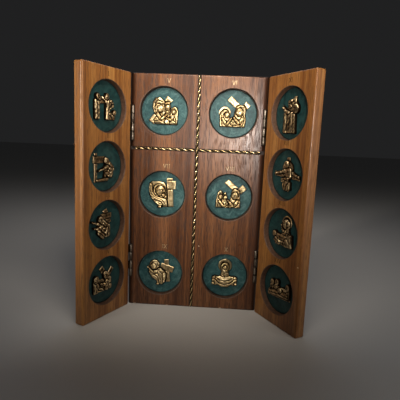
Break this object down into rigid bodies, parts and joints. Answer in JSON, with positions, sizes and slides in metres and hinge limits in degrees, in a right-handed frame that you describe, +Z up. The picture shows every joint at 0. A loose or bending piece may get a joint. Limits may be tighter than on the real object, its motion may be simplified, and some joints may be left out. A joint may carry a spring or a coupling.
{
  "type": "triptych altarpiece",
  "caption": "Small folding wooden triptych: two hinged wings and a centre panel with cast devotional reliefs in round recesses and an inlaid twisted-wire cross.",
  "frame": {"origin": "the middle of the centre panel's underside: halfway across its width and halfway through its thickness", "axes": "+Z up along the panels' height, +X to the right of a viewer who faces the reliefs, +Y away from the viewer through the centre panel's thickness"},
  "size_m": [0.2259, 0.0717, 0.254],
  "materials": {
    "centre_wood": "satin reddish-brown stain over open dark pores",
    "wing_wood": "satin golden-brown stain",
    "marbled_disc": "green marbled, satin",
    "cast_brass": "polished high spots over a dark patina",
    "brass_wire": "drawn and twisted, slightly tarnished",
    "hinge_brass": "plated, slightly tarnished"
  },
  "bodies": {
    "centre": {"centre_panel": "centre_wood", "disc_05": "marbled_disc", "disc_06": "marbled_disc", "disc_07": "marbled_disc", "disc_08": "marbled_disc", "disc_09": "marbled_disc", "disc_10": "marbled_disc", "relief_05": "cast_brass", "relief_06": "cast_brass", "relief_07": "cast_brass", "relief_08": "cast_brass", "relief_09": "cast_brass", "relief_10": "cast_brass", "cross_wire_upright": "brass_wire", "cross_wire_left_arm": "brass_wire", "cross_wire_right_arm": "brass_wire", "hinge_left_upper_centre_leaf": "hinge_brass", "hinge_left_upper_pin": "hinge_brass", "hinge_left_lower_centre_leaf": "hinge_brass", "hinge_left_lower_pin": "hinge_brass", "hinge_right_upper_centre_leaf": "hinge_brass", "hinge_right_upper_pin": "hinge_brass", "hinge_right_lower_centre_leaf": "hinge_brass", "hinge_right_lower_pin": "hinge_brass"},
    "left_wing": {"left_wing_panel": "wing_wood", "disc_01": "marbled_disc", "disc_02": "marbled_disc", "disc_03": "marbled_disc", "disc_04": "marbled_disc", "relief_01": "cast_brass", "relief_02": "cast_brass", "relief_03": "cast_brass", "relief_04": "cast_brass", "hinge_left_upper_wing_leaf": "hinge_brass", "hinge_left_lower_wing_leaf": "hinge_brass"},
    "right_wing": {"right_wing_panel": "wing_wood", "disc_11": "marbled_disc", "disc_12": "marbled_disc", "disc_13": "marbled_disc", "disc_14": "marbled_disc", "relief_11": "cast_brass", "relief_12": "cast_brass", "relief_13": "cast_brass", "relief_14": "cast_brass", "hinge_right_upper_wing_leaf": "hinge_brass", "hinge_right_lower_wing_leaf": "hinge_brass"}
  },
  "joints": [
    {"name": "left_wing_hinge", "type": "hinge", "parent": "centre", "child": "left_wing", "pos_m": [-0.0694, -0.0062, 0.127], "axis": [0, 0, 1], "range_deg": [-50.3, 117.7]},
    {"name": "right_wing_hinge", "type": "hinge", "parent": "centre", "child": "right_wing", "pos_m": [0.0694, -0.0062, 0.127], "axis": [0, 0, -1], "range_deg": [-46.8, 121.2]}
  ]
}
